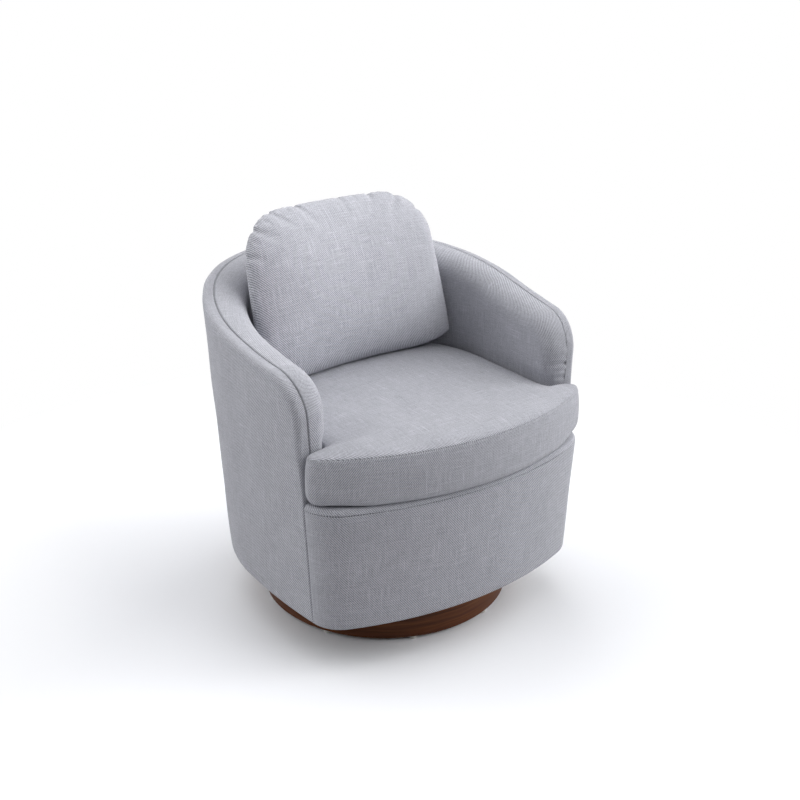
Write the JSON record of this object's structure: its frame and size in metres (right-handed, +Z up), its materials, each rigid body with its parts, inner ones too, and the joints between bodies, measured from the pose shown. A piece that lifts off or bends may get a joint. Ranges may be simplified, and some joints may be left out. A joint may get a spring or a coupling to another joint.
{
  "type": "swivel barrel chair",
  "caption": "Upholstered barrel chair that turns on a ball-bearing swivel over a round wood plinth, with a loose T-shaped seat cushion and back pillow.",
  "frame": {"origin": "on the floor, on the swivel axis, under the middle of the plinth", "axes": "+Z up along the swivel axis, the chair faces -Y at rest, +X to the right of someone looking at its front"},
  "size_m": [0.6946, 0.7035, 0.7878],
  "materials": {
    "upholstery": "light blue-grey heathered woven cloth",
    "deck_cloth": "plain grey decking cloth",
    "dust_cloth": "black non-woven cloth",
    "felt": "grey needled felt",
    "foam": "cream open-cell foam",
    "fibre_fill": "white loose fibre",
    "plinth_wood": "walnut-brown satin veneer",
    "plywood": "raw plywood",
    "block_wood": "raw softwood",
    "frame_wood": "raw hardwood",
    "fibreboard": "brown hardboard",
    "glide_plastic": "milky plastic",
    "cage_nylon": "natural nylon",
    "swivel_steel": "black-coated pressed steel",
    "fastener_steel": "zinc plated",
    "ball_steel": "polished",
    "spring_steel": "drawn wire"
  },
  "bodies": {
    "plinth": {"plinth_ring": "plinth_wood", "plinth_board": "plywood", "plinth_blocks": "block_wood", "glides": "glide_plastic", "glide_nails": "fastener_steel", "lower_swivel_plate": "swivel_steel", "lower_plate_screws": "fastener_steel", "centre_rivet": "fastener_steel"},
    "bearing": {"ball_cage": "cage_nylon", "bearing_balls": "ball_steel"},
    "tub": {"upper_swivel_plate": "swivel_steel", "upper_plate_bolts": "fastener_steel", "tee_nuts": "fastener_steel", "base_board": "plywood", "dust_cover": "dust_cloth", "lower_posts": "frame_wood", "seat_frame": "plywood", "front_rail": "frame_wood", "springs": "spring_steel", "spring_clips": "fastener_steel", "deck_pad": "felt", "deck_cover": "deck_cloth", "wall_posts": "frame_wood", "top_rail": "frame_wood", "outer_liner": "fibreboard", "front_liner": "fibreboard", "inner_liner": "fibreboard", "wall_foam": "foam", "inside_cover": "upholstery", "arm_front_pads": "upholstery", "outside_cover": "upholstery", "front_cover": "upholstery"},
    "cushion": {"seat_cover": "upholstery", "seat_core": "foam"},
    "pillow": {"pillow_cover": "upholstery", "pillow_fill": "fibre_fill"}
  },
  "joints": [
    {"name": "chair_swivel", "type": "hinge", "parent": "plinth", "child": "tub", "pos_m": [0, 0, 0.08725], "axis": [0, 0, 1], "continuous": true},
    {"name": "cage_turn", "type": "hinge", "parent": "plinth", "child": "bearing", "pos_m": [0, 0, 0.08725], "axis": [0, 0, 1], "continuous": true},
    {"name": "cushion_lift", "type": "slide", "parent": "tub", "child": "cushion", "axis": [0, 0, 1], "range_m": [0, 0.4]},
    {"name": "pillow_lift", "type": "slide", "parent": "cushion", "child": "pillow", "axis": [0, 0, 1], "range_m": [0, 0.3]}
  ],
  "couplings": [
    {"joint": "cage_turn", "follows": "chair_swivel", "ratio": 0.5}
  ]
}
